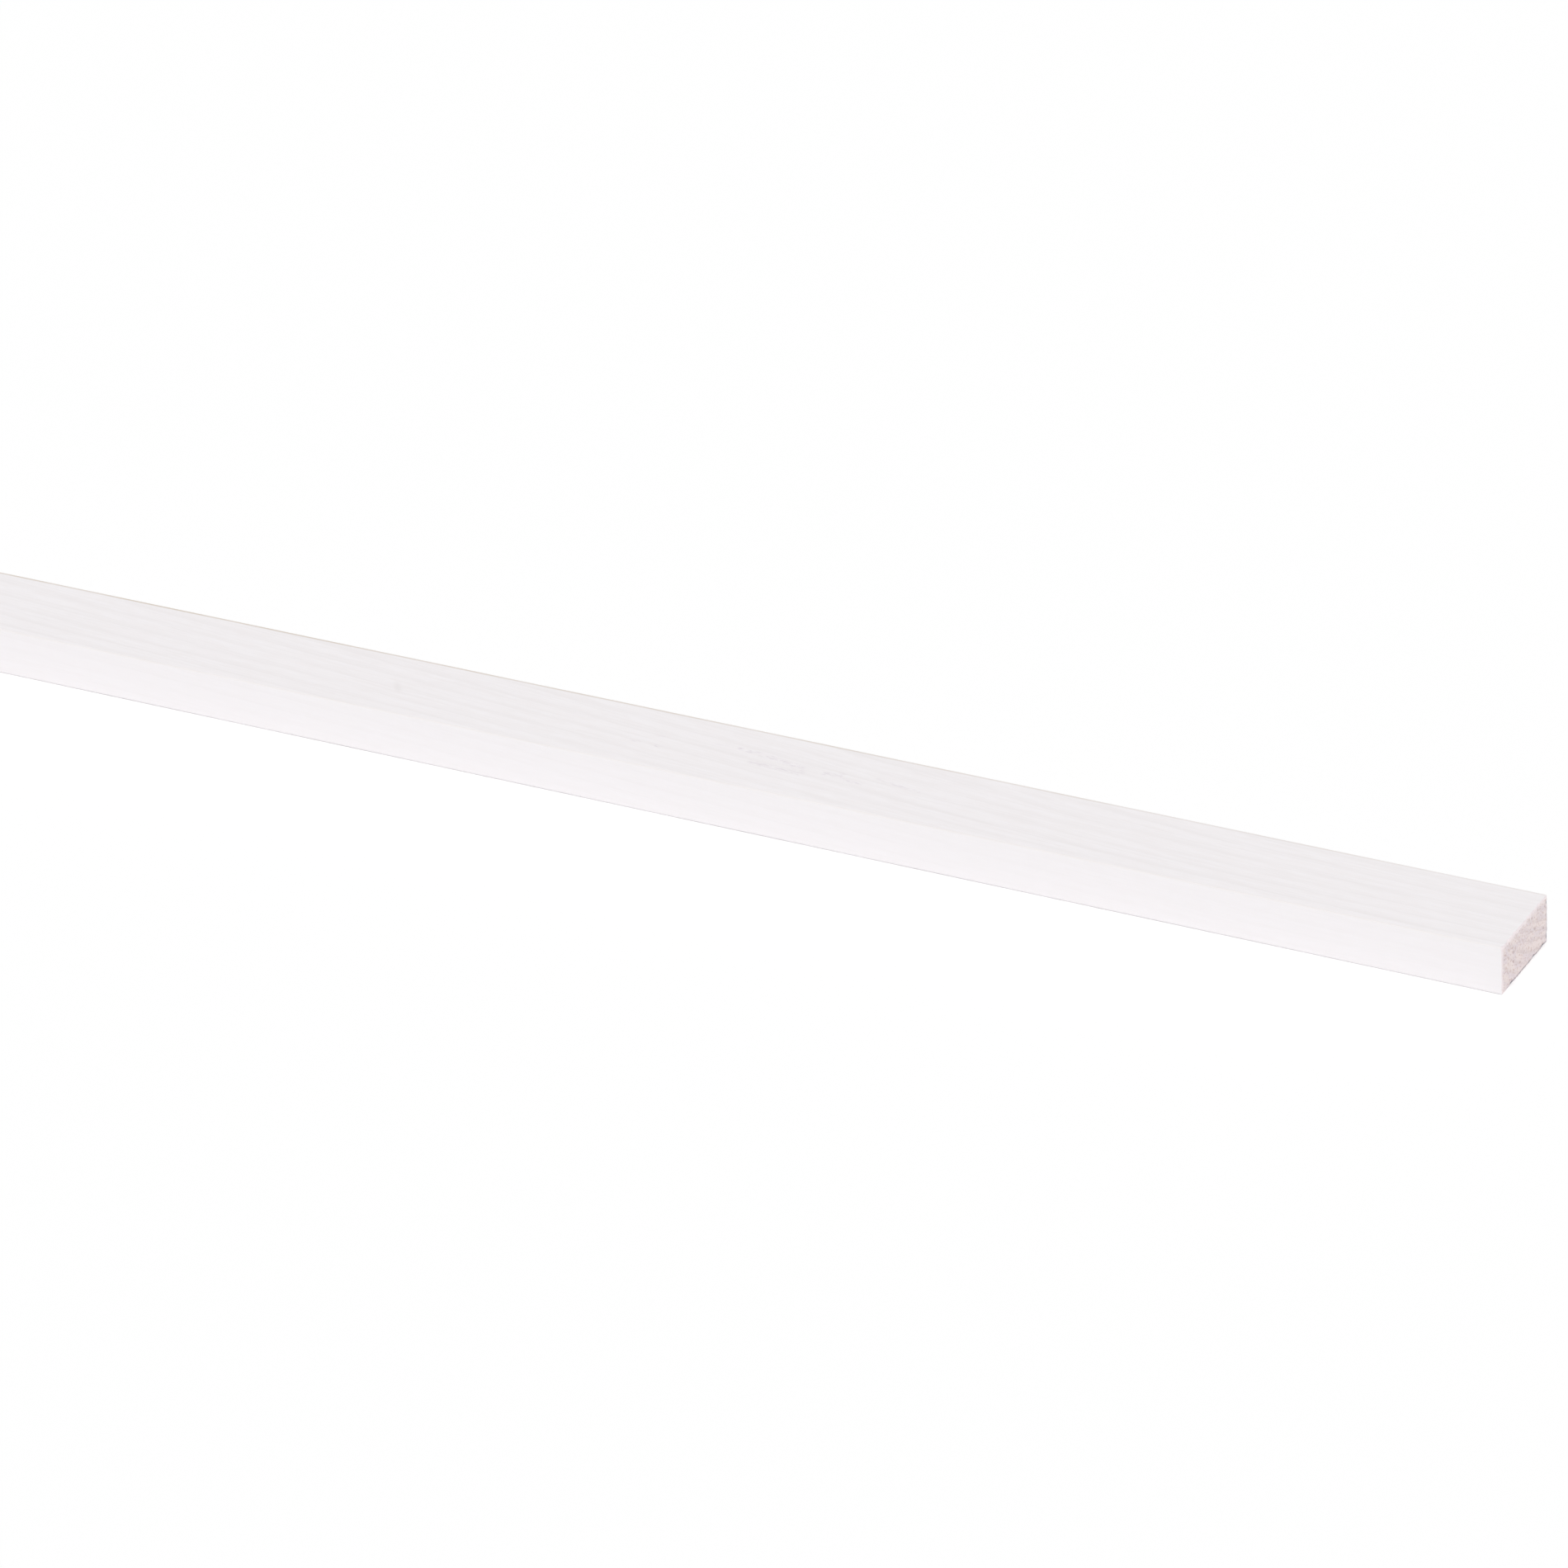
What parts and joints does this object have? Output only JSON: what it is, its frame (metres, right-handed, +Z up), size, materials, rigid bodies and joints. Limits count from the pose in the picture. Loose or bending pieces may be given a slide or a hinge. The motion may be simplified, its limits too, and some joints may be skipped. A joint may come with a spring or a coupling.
{
  "type": "planed batten",
  "caption": "Straight planed softwood batten of flat rectangular section, with eased arrises, white primed long faces and bare square sawn ends.",
  "frame": {"origin": "middle of the wide face that the batten lies on", "axes": "+X along the grain, towards the end that the picture shows; +Y across the wide face, away from the edge that the picture shows; +Z up, through the thickness"},
  "size_m": [2.4, 0.045, 0.021],
  "materials": {
    "primed_softwood": "white water-based primer, low sheen, with the grain showing through; the two sawn ends are bare pale wood"
  },
  "bodies": {
    "root": {"batten": "primed_softwood"}
  },
  "joints": []
}
